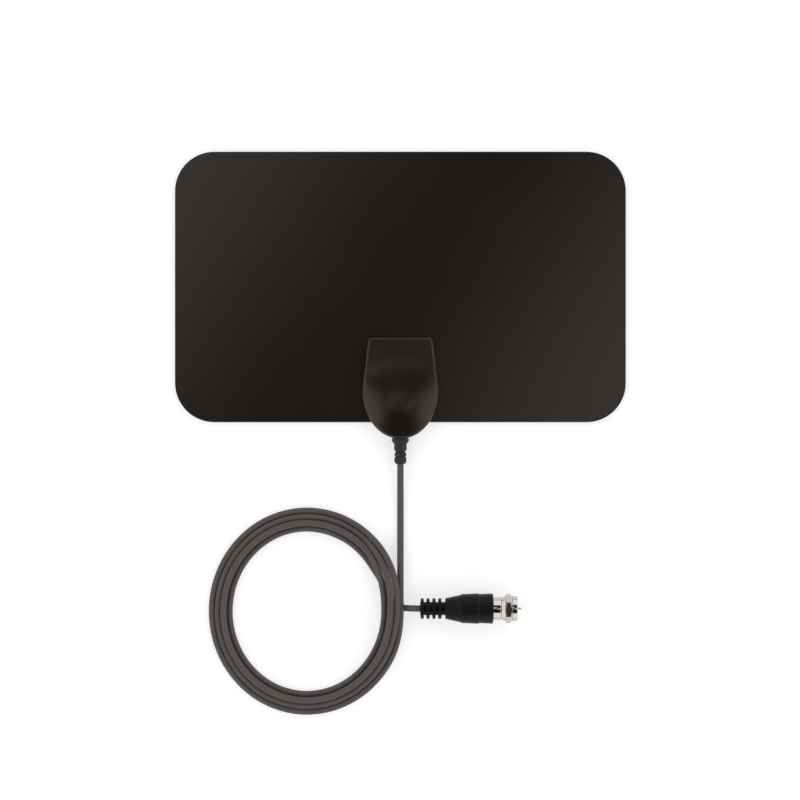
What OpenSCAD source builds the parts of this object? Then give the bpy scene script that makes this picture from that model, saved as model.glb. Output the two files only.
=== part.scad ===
/* [Sheet] */
// Width of the antenna sheet
sheet_w = 200; // [150:1:300]
// Height of the antenna sheet
sheet_h = 120; // [100:1:200]
// Corner radius of the sheet
sheet_r = 17.4; // [4:0.2:30]
// Thickness of each of the two plastic films
film_t = 0.4; // [0.3:0.05:0.8]
// Thickness of the foil that lies in the front film
foil_t = 0.1; // [0.05:0.01:0.2]

/* [Foil elements] */
// Bare film left beside and above the foil
foil_margin = 16; // [8:0.5:24]
// Bare film between the foil and the housing's top edge
foil_lift = 2; // [1:0.5:8]
// Gap between the left and the right element
element_gap = 5; // [3:0.5:6]
// Width of the feed tab that runs down under the housing
tab_w = 6; // [5:0.5:7]
// Width of each slot in the foil
slot_w = 4; // [2:0.5:8]
// Foil left at the closed end of each slot
slot_end = 14; // [8:1:30]
// Number of slots in each element
slot_count = 3; // [1:1:5]

/* [Housing] */
// Length of the housing from its top edge to the end of its nose
cover_len = 44.4; // [42:0.2:50]
// Width of the housing at its top edge
cover_top_w = 28.4; // [27.4:0.2:34]
// Width of the housing at its widest place
cover_w = 33.8; // [33:0.2:42]
// Distance from the top edge to the widest place
belly_at = 23.4; // [18:0.2:26]
// Width of the flat end of the nose
nose_w = 5.7; // [5:0.1:8]
// Length of the nose past the sheet's lower edge
overhang = 7; // [5.4:0.2:9]
// Radius of the two upper corners
corner_r = 1.3; // [1:0.1:4]
// Rounding along the front edge
edge_r = 1; // [0.6:0.1:1.4]
// Wall thickness of the front cover
wall = 1.3; // [1:0.1:1.6]
// Height of the flat top third above the sheet
top_rise = 5; // [4.6:0.1:7]
// Height of the belly above the sheet
belly_rise = 8; // [7.4:0.1:12]
// Height of the nose above the sheet
nose_rise = 7; // [6.8:0.1:9]
// Height of the side edges above the sheet at the belly
side_rise = 5.6; // [4.6:0.1:7]
// Length of the flat part behind the top edge
flat_len = 7; // [4:0.5:12]
// Distance from the top edge to the highest place
crown_at = 31; // [26:0.5:36]
// Thickness of the back cover
back_t = 1.2; // [1:0.1:2]
// Running and fitting clearance between moulded pieces
gap = 0.1; // [0.05:0.01:0.15]

/* [Screws] */
// Diameter of a screw's shank
screw_d = 2; // [1.6:0.1:2.4]
// Diameter of a screw's countersunk head
screw_head_d = 3.8; // [3.2:0.1:4.4]
// Length of a screw
screw_len = 5; // [4:0.1:5.4]
// Distance of the screws from the centre line
screw_x = 11; // [10.4:0.1:11.2]
// Distance of the upper screws from the top edge
screw_upper = 6; // [5:0.5:8]
// Distance of the lower screws from the top edge
screw_lower = 30; // [27:0.5:31]
// Wall of the screw bosses
boss_wall = 1.2; // [1:0.1:1.4]

/* [Circuit board] */
// Width of the circuit board
board_w = 15; // [14:0.5:16]
// Length of the circuit board
board_len = 27; // [26:0.5:28]
// Thickness of the circuit board
board_t = 1; // [0.8:0.1:1.2]
// Distance from the housing's top edge to the board
board_at = 5; // [4:0.5:6]
// Distance from the board's upper edge to the two contact rivets
contact_at = 4; // [3:0.5:5]
// Diameter of a contact rivet's shank
rivet_d = 1.6; // [1.2:0.1:2]
// Diameter of a contact rivet's heads
rivet_head_d = 3.2; // [2.6:0.1:3.6]
// Thickness of a contact rivet's heads
rivet_head_t = 0.3; // [0.2:0.05:0.5]
// Distance from the board's upper edge to the middle of the balun core
core_at = 13.5; // [13:0.5:14.5]
// Height of the two-hole ferrite core
core_h = 3.2; // [2.8:0.1:3.4]
// Length of the ferrite core along its holes
core_len = 5.6; // [4.5:0.1:6.5]
// Distance between the core's two holes
core_pitch = 3; // [2.6:0.1:3.4]
// Diameter of the core's holes
core_hole_d = 1.6; // [1.4:0.1:1.8]
// Diameter of the winding's enamelled wire
wire_d = 0.35; // [0.25:0.01:0.38]
// Number of turns through the core
turn_count = 3; // [1:1:3]

/* [Cable] */
// Outer diameter of the coaxial cable
cable_d = 2.9; // [2.6:0.1:3.2]
// Outer diameter of the cable's braid
braid_d = 1.96; // [1.8:0.02:2.2]
// Outer diameter of the cable's dielectric
dielectric_d = 1.46; // [1.2:0.02:1.6]
// Diameter of the cable's inner wire
core_wire_d = 0.5; // [0.4:0.02:0.6]
// Height of the cable's middle where it leaves the housing
exit_z = 4.4; // [4.2:0.1:4.6]
// Diameter of the strain relief's shoulder against the nose
shoulder_d = 7.6; // [6.6:0.1:8]
// Diameter of the strain relief's waist
waist_d = 5.6; // [5:0.1:6.2]
// Length of the strain relief outside the housing
relief_len = 11.5; // [10.5:0.1:14]
// Diameter of the strain relief's neck in the nose wall
neck_d = 4.4; // [4:0.1:4.8]
// Diameter of the strain relief's flange inside the nose
flange_d = 5.8; // [5.4:0.1:6.2]

/* [Coil] */
// Middle of the coil across the sheet's middle line
coil_x = -41.5; // [-60:0.5:-38]
// Middle of the coil below the sheet's lower edge
coil_drop = 83.9; // [75:0.1:100]
// Radius of the outermost strand's middle
coil_r = 42.15; // [38:0.05:46]
// Half of the length that the coil is stretched along the sheet's height
coil_stretch = 2.4; // [1:0.1:4]
// Width of the coil across its four strands
coil_w = 10.65; // [9:0.05:11.6]

/* [Plug] */
// Distance from the sheet's middle line to the plug's tail
plug_x = 8.7; // [7:0.1:12]
// Distance of the plug below the sheet's lower edge
plug_drop = 82.25; // [76:0.05:90]
// Diameter of the grip's four tail ribs
rib_d = 9.1; // [8:0.1:9.8]
// Thickness of a tail rib
rib_t = 1.4; // [1:0.1:1.6]
// Distance from one tail rib to the next
rib_pitch = 2.6; // [2.4:0.05:2.8]
// Number of tail ribs
rib_count = 4; // [2:1:4]
// Diameter of the core between the tail ribs
rib_core_d = 5.8; // [5:0.1:6.6]
// Diameter of the grip at its thick end
grip_d = 13.3; // [12.8:0.1:15]
// Length of the whole grip
grip_len = 32.2; // [31.6:0.1:36]
// Height of the raised finger band on the grip
band_rise = 0.3; // [0.2:0.05:0.6]
// Length of the finger band
band_len = 7.4; // [5:0.1:8]
// Diameter of the connector body's rear sleeve
sleeve_d = 9.9; // [9.4:0.1:10.4]
// Length of the rear sleeve
sleeve_len = 3.5; // [3:0.1:5]
// Size of the coupling nut across its flats
nut_flats = 11; // [10.8:0.1:12]
// Length of the coupling nut
nut_len = 7; // [6.6:0.1:8]
// Bore of the nut inside its thread
nut_bore = 8.7; // [8.5:0.05:8.8]
// Bore of the nut's rear lip
lip_bore = 7.4; // [7.2:0.05:7.6]
// Diameter of the flange that holds the nut on
nut_flange_d = 8.4; // [8.2:0.05:8.44]
// Diameter of the white insulator
insulator_d = 4.8; // [4.2:0.1:5]
// Diameter of the centre pin
pin_d = 1; // [0.8:0.05:1.1]
// Length of the pin past the nut's front
pin_out = 1.9; // [1:0.1:4]

/* [Hidden] */
$fn = 64;

// Levels above the surface that the antenna lies on
foil_z = back_t + film_t;
sheet_z = back_t + 2 * film_t;
board_z = sheet_z + board_t;

// Places along Y: the origin is at the middle of the sheet, housing and strain relief together
sheet_y = (overhang + relief_len) / 2;
sheet_low = sheet_y - sheet_h / 2;
cover_top_y = sheet_low - overhang + cover_len;
relief_end_y = cover_top_y - cover_len - relief_len;
coil_y = sheet_low - coil_drop;
plug_y = sheet_low - plug_drop;

// The nose is the end of an ellipse that reaches the cover's width at the belly
nose_b = (cover_len - belly_at) / sqrt(1 - pow(nose_w / cover_w, 2));
// Height of the nose's side edges above the sheet
nose_side = nose_rise - 0.5;

// Places of the board's parts, as distances from the housing's top edge
contact_x = element_gap / 2 + tab_w / 2;
contact_s = board_at + contact_at;
core_s = board_at + core_at;
core_z = board_z + core_h / 2;
board_end = board_at + board_len;
core_pad_s = board_end - 3;
earth_pad_x = 3.4;
earth_pad_s = board_end - 1.6;
earth_wire_d = 0.7;
wire_pitch = 0.4;
lead_out = core_len / 2 + gap + core_pitch / 2;

// Ends of the stripped cable inside the housing
jacket_s = board_end + 2.5;
braid_s = board_end + 0.8;
dielectric_s = board_end - 1;
core_bend_r = 0.8;

screw_head_h = 0.9;
recess_w = 0.5;
recess_depth = 0.5;

// Stations along the plug's axis, from the tail
band_end = grip_len - 6.5;
band_start = band_end - band_len;
cone_start = rib_pitch * rib_count + 0.7;
cone_d = 9.1;
barrel_at = band_start + 3.4;
barrel_d = 8;
sleeve_end = grip_len + sleeve_len;
nut_at = sleeve_end + 2 * gap;
nut_end = nut_at + nut_len;
lip_t = 2.2;
flange_at = nut_at + lip_t + 2 * gap;
flange_t = 1.2;
flange_end = flange_at + flange_t;
post_neck_d = lip_bore - 3 * gap;
insulator_end = flange_end - 2 * gap;
ferrule_d = 1.6;
pin_end = nut_end + pin_out;
pin_tip = 0.3;
plug_z = grip_d / 2 + band_rise / 6;

// Points where the cable runs from the strain relief to the coil
LEAD_ROUTE = [
    [0, relief_end_y, exit_z], [0, -72, exit_z], [0, -75, 4.2], [0, -78, 3.7], [0, -81, 3],
    [0, -84, 2.3], [0, -87, 1.75], [0, -90, 1.5], [0, -94, cable_d / 2], [0, -98, cable_d / 2],
    [0, -103, cable_d / 2], [0, -108, cable_d / 2], [0, -113, cable_d / 2], [0, -118, cable_d / 2],
    [0, -122, cable_d / 2], [0, -125, cable_d / 2],
];

// Points where the cable rises from under the coil into the plug
TAIL_ROUTE = [
    [-4, plug_y, cable_d / 2], [-2, plug_y, 1.65], [-0.5, plug_y, 2.1], [1, plug_y, 2.9],
    [2.4, plug_y, 4.05], [3.6, plug_y, 5.1], [5, plug_y, 5.9], [6.5, plug_y, plug_z - 0.25],
    [plug_x - 0.5, plug_y, plug_z], [plug_x + barrel_at - 1, plug_y, plug_z],
];

// A smooth step from 0 to 1
function ramp(t) = t <= 0 ? 0 : t >= 1 ? 1 : (1 - cos(180 * t)) / 2;

// Y of a point at a distance s from the housing's top edge
function down(s) = cover_top_y - s;

// Half width of the straight-sided upper part, set in by d
function side_x(s, d) = cover_top_w / 2 + (cover_w - cover_top_w) / 2 * s / belly_at - d;

// Half width of the whole housing
function half_w(s) =
    s <= belly_at ? side_x(s, 0) : cover_w / 2 * sqrt(1 - pow((s - belly_at) / nose_b, 2));

// Right half of the outline set in by d, from the top edge's middle to the nose's middle, as [x, s]
function half_outline(d) =
    let (
        r = max(corner_r - d, 0.2),
        flat_x = side_x(d, d) - r,
        a = cover_w / 2 - d,
        b = nose_b - d,
        last = asin((cover_len - d - belly_at) / b)
    )
    concat(
        [for (i = [0 : 2]) [flat_x * i / 3, d]],
        [for (t = [0 : 22.5 : 90]) [flat_x + r * sin(t), d + r * (1 - cos(t))]],
        [for (i = [1 : 4]) let (s = d + r + (belly_at - d - r) * i / 5) [side_x(s, d), s]],
        [for (i = [0 : 12]) [a * cos(last * i / 12), belly_at + b * sin(last * i / 12)]],
        [[0, cover_len - d]]
    );

// Closed outline set in by d, clockwise from the top edge's middle, as [x, s]
function outline(d) =
    let (half = half_outline(d), m = len(half) - 1)
    concat(half, [for (i = [m - 1 : -1 : 1]) [-half[i][0], half[i][1]]]);

// The same outline as plan points
function plan(d) = [for (p = outline(d)) [p[0], down(p[1])]];

// Height of the front cover's face above the sheet: flat at the top, domed at the belly
function crown(s) =
    top_rise + (belly_rise - top_rise) * ramp((s - flat_len) / (crown_at - flat_len))
    - (belly_rise - nose_rise) * ramp((s - crown_at) / (cover_len - crown_at));

function side(s) =
    top_rise + (side_rise - top_rise) * ramp(s / crown_at)
    + (nose_side - side_rise) * ramp((s - crown_at) / (cover_len - crown_at));

function face(x, s) = side(s) + (crown(s) - side(s)) * (1 - pow(x / half_w(s), 2));

// Fall of a rounded edge of radius r at a distance d inside it
function edge_fall(d, r) = d >= r ? 0 : r - sqrt(r * r - pow(r - d, 2));

// One closed ring of the cover's face, set in by d, sunk by drop
function face_ring(d, drop) =
    [for (p = outline(d)) [p[0], down(p[1]), sheet_z + face(p[0], p[1]) - drop]];

function base_ring(d) = [for (p = plan(d)) [p[0], p[1], sheet_z]];

// Triangles between two rings of n points that start at indices a and b
function band(a, b, n) = [
    for (i = [0 : n - 1]) let (j = (i + 1) % n)
        for (f = [[a + i, a + j, b + j], [a + i, b + j, b + i]]) f
];

// Triangles that close a ring of n points across its middle line
function cap(a, n) = let (m = n / 2) concat(
    [[a, a + 1, a + n - 1]],
    [for (i = [1 : m - 2])
        for (f = [[a + i, a + i + 1, a + n - i - 1], [a + i, a + n - i - 1, a + n - i]]) f],
    [[a + m - 1, a + m, a + m + 1]]
);

// Each face's corners in the opposite order
function flip(faces) = [for (f = faces) [f[2], f[1], f[0]]];

// Distances inside the edge where the cover's face and its inner side have a ring
FACE_INSETS = [0, 0.12, 0.4, 0.75, 1, 2.4, 4.6, 7, 9.6, 12.2];
ROOF_INSETS = [0, 0.3, 1.6, 4, 7, 9.8];
ROOF_EDGE_R = 0.3;

module cover_shell() {
    n = len(outline(0));
    outer = concat(
        base_ring(0),
        [for (d = FACE_INSETS) for (p = face_ring(d * max(edge_r, 1), edge_fall(d, 1) * edge_r)) p]
    );
    inner = concat(
        base_ring(wall),
        [for (d = ROOF_INSETS) for (p = face_ring(wall + d, wall + edge_fall(d, ROOF_EDGE_R))) p]
    );
    outer_n = len(FACE_INSETS);
    inner_n = len(ROOF_INSETS);
    in0 = len(outer);
    faces = concat(
        [for (k = [0 : outer_n - 1]) for (f = band(k * n, (k + 1) * n, n)) f],
        cap(outer_n * n, n),
        flip([for (k = [0 : inner_n - 1]) for (f = band(in0 + k * n, in0 + (k + 1) * n, n)) f]),
        flip(cap(in0 + inner_n * n, n)),
        flip(band(0, in0, n))
    );
    polyhedron(points = concat(outer, inner), faces = faces);
}

// Puts its child at the four screws
module at_screws() {
    for (x = [-screw_x, screw_x])
        for (s = [screw_upper, screw_lower])
            translate([x, down(s), 0])
                children();
}

// Puts its child at the two contact rivets
module at_contacts() {
    for (x = [-contact_x, contact_x])
        translate([x, down(contact_s), 0])
            children();
}

// Turns a shape made along Z so that it runs down along -Y, with its start at a distance s
module along_cable(s) {
    translate([0, down(s), exit_z])
        rotate([90, 0, 0])
            children();
}

// Turns a shape made along Z so that it runs along the plug's axis from its tail
module along_plug() {
    translate([plug_x, plug_y, plug_z])
        rotate([0, 90, 0])
            children();
}

module tube(outer_d, inner_d, length) {
    difference() {
        cylinder(d = outer_d, h = length);
        translate([0, 0, -1])
            cylinder(d = inner_d, h = length + 2);
    }
}

// A straight round wire between two points, with round ends
module wire(a, b, d) {
    v = b - a;
    translate(a) {
        sphere(d = d);
        rotate([0, acos(v[2] / norm(v)), atan2(v[1], v[0])])
            cylinder(d = d, h = norm(v));
    }
    translate(b)
        sphere(d = d);
}

// A cable swept along a route, as rings of eight points
module cable(route) {
    n = 8;
    m = len(route);
    points = [
        for (i = [0 : m - 1])
            let (
                t = route[min(i + 1, m - 1)] - route[max(i - 1, 0)],
                u = t / norm(t),
                side = cross(u, [0, 0, 1]) / norm(cross(u, [0, 0, 1])),
                up = cross(side, u)
            )
            for (k = [0 : n - 1])
                let (q = 360 * (k + 0.5) / n)
                route[i] + cable_d / 2 * (side * cos(q) + up * sin(q))
    ];
    faces = concat(
        [for (i = [0 : m - 2]) for (f = band(i * n, (i + 1) * n, n)) f],
        [[for (k = [n - 1 : -1 : 0]) k]],
        [[for (k = [0 : n - 1]) (m - 1) * n + k]]
    );
    polyhedron(points = points, faces = faces);
}

module rounded_plan(w, h, r) {
    square([w - 2 * r, h], center = true);
    square([w, h - 2 * r], center = true);
    for (x = [r - w / 2, w / 2 - r])
        for (y = [r - h / 2, h / 2 - r])
            translate([x, y])
                circle(r);
}

// One film of the sheet, with clear holes for the screws and the rivets
module film(z, contact_hole) {
    difference() {
        translate([0, sheet_y, z])
            linear_extrude(film_t)
                rounded_plan(sheet_w, sheet_h, sheet_r);
        at_screws()
            cylinder(d = screw_d + 6 * gap, h = 4 * sheet_z);
        at_contacts()
            cylinder(d = contact_hole, h = 4 * sheet_z);
    }
}

// Plan of the right foil element, grown by e on every side
module element_plan(e) {
    low = cover_top_y + foil_lift;
    high = sheet_y + sheet_h / 2 - foil_margin;
    inner = element_gap / 2;
    outer = sheet_w / 2 - foil_margin;
    tab_end = down(contact_s) - tab_w / 2;
    step = (high - low) / (slot_count + 1);
    difference() {
        union() {
            translate([inner - e, low - e])
                square([outer - inner + 2 * e, high - low + 2 * e]);
            translate([inner - e, tab_end - e])
                square([tab_w + 2 * e, low - tab_end + 2 * e]);
        }
        for (i = [1 : slot_count])
            translate([i % 2 == 1 ? inner + slot_end + e : inner - slot_end - e, low + i * step - slot_w / 2 + e])
                square([outer - inner, slot_w - 2 * e]);
    }
}

module foil(e, t) {
    difference() {
        translate([0, 0, foil_z])
            linear_extrude(t)
                element_plan(e);
        at_contacts()
            cylinder(d = rivet_d + 2 * gap, h = 4 * sheet_z);
    }
}

// Front film of satin black plastic, with a shallow pocket for each foil element
module front_film() {
    color("#24211f")
        difference() {
            film(foil_z, rivet_d + 2 * gap);
            for (m = [0, 1])
                mirror([m, 0, 0])
                    translate([0, 0, foil_z - foil_t])
                        linear_extrude(2 * foil_t)
                            element_plan(gap / 2);
        }
}

module back_film() {
    color("#24211f") film(back_t, rivet_d + 2 * gap);
}

module right_element() {
    color("#b9bcc0") foil(0, foil_t);
}

module left_element() {
    color("#b9bcc0") mirror([1, 0, 0]) foil(0, foil_t);
}

// Seat for the strain relief's neck, half in each cover: a bore with a square slot below it
module nose_slot(extra) {
    translate([0, down(cover_len + 1), exit_z])
        rotate([-90, 0, 0])
            cylinder(d = neck_d + 2 * gap, h = wall + 2);
    translate([-neck_d / 2 - 0.8 - extra, down(cover_len + 1), sheet_z - 1])
        cube([neck_d + 1.6 + 2 * extra, wall + 2, exit_z - sheet_z + 1]);
}

// Moulded shell with a domed belly, four screw bosses and two posts that hold the board down
module front_cover() {
    boss_d = screw_d + 2 * boss_wall;
    color("#221f1d")
        difference() {
            union() {
                cover_shell();
                for (x = [-screw_x, screw_x])
                    for (s = [screw_upper, screw_lower])
                        translate([x, down(s), sheet_z])
                            cylinder(d = boss_d, h = face(x, s) - wall / 2);
                for (x = [-contact_x, contact_x])
                    translate([x, down(core_s - lead_out), board_z])
                        cylinder(d = 1.8, h = face(x, core_s - lead_out) - board_t - wall / 2);
            }
            at_screws()
                translate([0, 0, sheet_z - 1])
                    cylinder(d = screw_d + gap, h = screw_len - sheet_z + 1 + 2 * gap);
            nose_slot(0);
        }
}

// Flat plate behind the sheet, with a rim that closes the nose past the sheet's edge
module back_cover() {
    rim_from = cover_len - overhang + gap;
    color("#221f1d")
        difference() {
            union() {
                linear_extrude(back_t)
                    polygon(plan(0));
                difference() {
                    linear_extrude(sheet_z)
                        polygon(plan(0));
                    translate([0, 0, back_t])
                        linear_extrude(sheet_z)
                            polygon(plan(wall));
                    translate([-cover_w, down(rim_from), back_t])
                        cube([2 * cover_w, cover_len, sheet_z]);
                }
                translate([-neck_d / 2 - 0.8 + gap, down(cover_len), back_t])
                    cube([neck_d + 1.6 - 2 * gap, wall, exit_z - back_t - gap / 2]);
            }
            along_cable(cover_len - wall - 1)
                cylinder(d = neck_d + 2 * gap, h = wall + 2);
            at_screws() {
                translate([0, 0, -1])
                    cylinder(d = screw_d + 4 * gap, h = back_t + 2);
                translate([0, 0, -0.01])
                    cylinder(d1 = screw_head_d + 2 * gap, d2 = screw_d + 2 * gap, h = screw_head_h + 2 * gap);
            }
            at_contacts()
                translate([0, 0, back_t - rivet_head_t - gap / 2])
                    cylinder(d = rivet_head_d + 4 * gap, h = back_t);
        }
}

// Four countersunk cross-head screws, driven from behind
module cover_screws() {
    color("#8f9296")
        at_screws()
            difference() {
                union() {
                    cylinder(d1 = screw_head_d, d2 = screw_d, h = screw_head_h);
                    cylinder(d = screw_d, h = screw_len - 0.6);
                    translate([0, 0, screw_len - 0.6])
                        cylinder(d1 = screw_d, d2 = 0.6, h = 0.6);
                }
                for (turn = [0, 90])
                    rotate(turn)
                        translate([-screw_head_d / 3, -recess_w / 2, -1])
                            cube([screw_head_d / 1.5, recess_w, recess_depth + 1]);
            }
}

module circuit_board() {
    color("#2f6b45")
        difference() {
            translate([-board_w / 2, down(board_end), sheet_z])
                cube([board_w, board_len, board_t]);
            at_contacts()
                cylinder(d = rivet_d + 2 * gap, h = 4 * sheet_z);
        }
}

// Two rivets that clamp the foil tabs to the board
module contact_rivets() {
    color("#c8b27a")
        at_contacts() {
            translate([0, 0, back_t - rivet_head_t])
                cylinder(d = rivet_head_d, h = rivet_head_t);
            translate([0, 0, back_t - rivet_head_t])
                cylinder(d = rivet_d, h = board_z - back_t + 2 * rivet_head_t);
            translate([0, 0, board_z])
                cylinder(d = rivet_head_d, h = rivet_head_t);
        }
}

// Ferrite core with two holes, which matches the balanced foil to the coaxial cable
module balun_core() {
    color("#4a4744")
        translate([0, down(core_s) + core_len / 2, core_z])
            rotate([90, 0, 0])
                difference() {
                    union() {
                        for (x = [-core_pitch / 2, core_pitch / 2])
                            translate([x, 0, 0])
                                cylinder(d = core_h, h = core_len);
                        translate([-core_pitch / 2, -core_h / 2, 0])
                            cube([core_pitch, core_h, core_len]);
                    }
                    for (x = [-core_pitch / 2, core_pitch / 2])
                        translate([x, 0, -1])
                            cylinder(d = core_hole_d, h = core_len + 2);
                }
}

// Closed turns of enamelled wire through both holes, and two leads down to the board
module balun_winding($fn = 16) {
    half = core_len / 2 + gap;
    low_z = core_z - wire_pitch * (turn_count - 1) / 2;
    color("#a5552a")
        translate([0, down(core_s), 0]) {
            for (i = [0 : turn_count - 1])
                translate([0, 0, low_z + i * wire_pitch]) {
                    for (x = [-core_pitch / 2, core_pitch / 2])
                        translate([x, half, 0])
                            rotate([90, 0, 0])
                                cylinder(d = wire_d, h = 2 * half);
                    for (m = [0, 1])
                        mirror([0, m, 0])
                            translate([0, half, 0])
                                rotate_extrude(angle = 180)
                                    translate([core_pitch / 2, 0])
                                        circle(d = wire_d);
                }
            for (y = [-lead_out, lead_out])
                translate([0, y, board_z])
                    cylinder(d = wire_d, h = low_z - board_z);
        }
}

// Surface-mounted parts between the core and the cable's end
module chip_parts() {
    size = [1.6, 0.8, 0.6];
    color("#3b3835")
        for (x = [-5.2, -2.6, 5.2])
            translate([x - size[0] / 2, down(core_s + 6.5), board_z])
                cube(size);
}

// Cone of solder round a wire that stands on the board
module solder_cone(x, s, d) {
    translate([x, down(s), board_z])
        difference() {
            cylinder(d1 = 1.8, d2 = d + 0.3, h = 0.6);
            translate([0, 0, -1])
                cylinder(d = d + gap / 5, h = 3);
        }
}

module solder_joints() {
    color("#b5b8ba") {
        for (way = [-1, 1])
            solder_cone(0, core_s + way * lead_out, wire_d);
        solder_cone(0, core_pad_s, core_wire_d);
        solder_cone(earth_pad_x, earth_pad_s, earth_wire_d);
    }
}

// Moulded strain relief: a shoulder against the nose, a cone, a waist and two rings
module strain_relief() {
    // Radii are half of the named diameters, and the rings stand between narrow grooves
    shoulder_r = shoulder_d / 2;
    waist_r = waist_d / 2;
    inside = wall + 2 * gap;
    flange_len = 1.5;
    bore = cable_d / 2 + gap / 4;
    profile = [
        [bore, -inside - flange_len], [flange_d / 2, -inside - flange_len], [flange_d / 2, -inside],
        [neck_d / 2, -inside], [neck_d / 2, gap / 2], [shoulder_r - 0.2, gap / 2], [shoulder_r, 0.3],
        [shoulder_r, 1.2], [shoulder_r - 0.2, 1.45], [waist_r + 0.2, 2.5], [waist_r, 2.8],
        [waist_r, relief_len - 6.2], [waist_r - 0.2, relief_len - 5.9], [waist_r - 0.45, relief_len - 5.6],
        [waist_r - 0.45, relief_len - 5.2], [waist_r - 0.2, relief_len - 4.9],
        [waist_r - 0.2, relief_len - 3.6], [waist_r - 0.4, relief_len - 3.45],
        [waist_r - 0.4, relief_len - 3.3], [waist_r - 0.1, relief_len - 3.1],
        [waist_r - 0.1, relief_len - 1], [waist_r - 0.45, relief_len - 0.35],
        [waist_r - 0.9, relief_len], [bore, relief_len],
    ];
    color("#3a3634")
        along_cable(cover_len)
            rotate_extrude()
                polygon(profile);
}

// Length of the cable from a place inside the housing to the strain relief's outer end
function stub(s) = cover_len + relief_len - s;

module cable_jacket() {
    color("#6b676a") along_cable(jacket_s) tube(cable_d, braid_d + gap / 5, stub(jacket_s));
}

// Braid round the dielectric, its strands twisted together and led aside to the earth pad
module cable_braid() {
    from = [braid_d / 2 + 0.2, down(braid_s + 0.7), exit_z];
    over = [earth_pad_x, down(earth_pad_s), exit_z - 0.4];
    color("#c3a78f") {
        along_cable(braid_s) tube(braid_d, dielectric_d + gap / 5, stub(braid_s));
        wire(from, over, earth_wire_d);
        translate([earth_pad_x, down(earth_pad_s), board_z])
            cylinder(d = earth_wire_d, h = over[2] - board_z);
    }
}

module cable_dielectric() {
    color("#efe9dc")
        along_cable(dielectric_s) tube(dielectric_d, core_wire_d + gap / 5, stub(dielectric_s));
}

// Inner wire, bent down to its pad on the board
module cable_core_wire() {
    bend_s = core_pad_s + core_bend_r;
    color("#c07a4a") {
        along_cable(bend_s) cylinder(d = core_wire_d, h = stub(bend_s));
        translate([0, down(bend_s), exit_z - core_bend_r])
            rotate([0, -90, 0])
                rotate_extrude(angle = 90)
                    translate([core_bend_r, 0])
                        circle(d = core_wire_d);
        translate([0, down(core_pad_s), board_z])
            cylinder(d = core_wire_d, h = exit_z - core_bend_r - board_z);
    }
}

module cord_lead() {
    color("#6b676a") cable(LEAD_ROUTE);
}

module cord_tail() {
    color("#6b676a") cable(TAIL_ROUTE);
}

// Section of the coil: three strands on the surface and one that rides up between two of them
module coil_section() {
    r = cable_d / 2;
    inner = coil_r + r - coil_w + r;
    raised = coil_r - cable_d - 2.45;
    translate([inner, r])
        circle(r);
    translate([inner, 0])
        square([coil_r - inner, cable_d]);
    translate([coil_r, r])
        circle(r);
    translate([raised, r + 1.6])
        circle(r);
}

// Coil of four turns, slightly longer along the sheet's height than across it
module cord_coil() {
    color("#554f4c")
        translate([coil_x, coil_y, 0]) {
            for (m = [0, 1])
                mirror([0, m, 0])
                    translate([0, coil_stretch, 0])
                        rotate_extrude(angle = 180)
                            coil_section();
            for (m = [0, 1])
                mirror([m, 0, 0])
                    translate([0, coil_stretch, 0])
                        rotate([90, 0, 0])
                            linear_extrude(2 * coil_stretch)
                                coil_section();
        }
}

// Moulded grip: tail ribs, a widening body with a raised finger band, and a bore for cable and barrel
module plug_grip() {
    band_r = grip_d / 2 + band_rise / 6;
    color("#1c1a16")
        along_plug()
            difference() {
                union() {
                    rotate_extrude() {
                        square([rib_core_d / 2, cone_start + 1]);
                        for (i = [0 : rib_count - 1])
                            translate([0, 0.2 + i * rib_pitch])
                                polygon([
                                    [0, 0], [rib_d / 2 - 0.3, 0], [rib_d / 2, 0.3],
                                    [rib_d / 2, rib_t - 0.3], [rib_d / 2 - 0.3, rib_t], [0, rib_t],
                                ]);
                        polygon([
                            [0, cone_start], [cone_d / 2 - 0.3, cone_start], [cone_d / 2, cone_start + 0.3],
                            [band_r - 0.7, band_start - 0.6], [band_r - 0.4, band_start],
                            [band_r, band_end], [band_r - band_rise, band_end + 0.4],
                            [grip_d / 2, grip_len - 0.7], [grip_d / 2 - 0.4, grip_len], [0, grip_len],
                        ]);
                    }
                }
                translate([0, 0, -1])
                    cylinder(d = cable_d + gap / 2, h = barrel_at + 2);
                translate([0, 0, barrel_at])
                    cylinder(d = barrel_d + gap / 2, h = grip_len);
            }
}

// Plated body: a barrel inside the grip, the rear sleeve, a neck and the flange that holds the nut
module connector_post() {
    color("#c9c6c0")
        along_plug()
            difference() {
                rotate_extrude()
                    polygon([
                        [0, barrel_at], [barrel_d / 2, barrel_at], [barrel_d / 2, grip_len],
                        [sleeve_d / 2 - 0.2, grip_len], [sleeve_d / 2, grip_len + 0.2],
                        [sleeve_d / 2, sleeve_end - 0.2], [sleeve_d / 2 - 0.2, sleeve_end],
                        [post_neck_d / 2, sleeve_end], [post_neck_d / 2, flange_at],
                        [nut_flange_d / 2, flange_at], [nut_flange_d / 2, flange_end - 0.2],
                        [nut_flange_d / 2 - 0.2, flange_end], [0, flange_end],
                    ]);
                cylinder(d = insulator_d + gap / 2, h = nut_end);
            }
}

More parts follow.
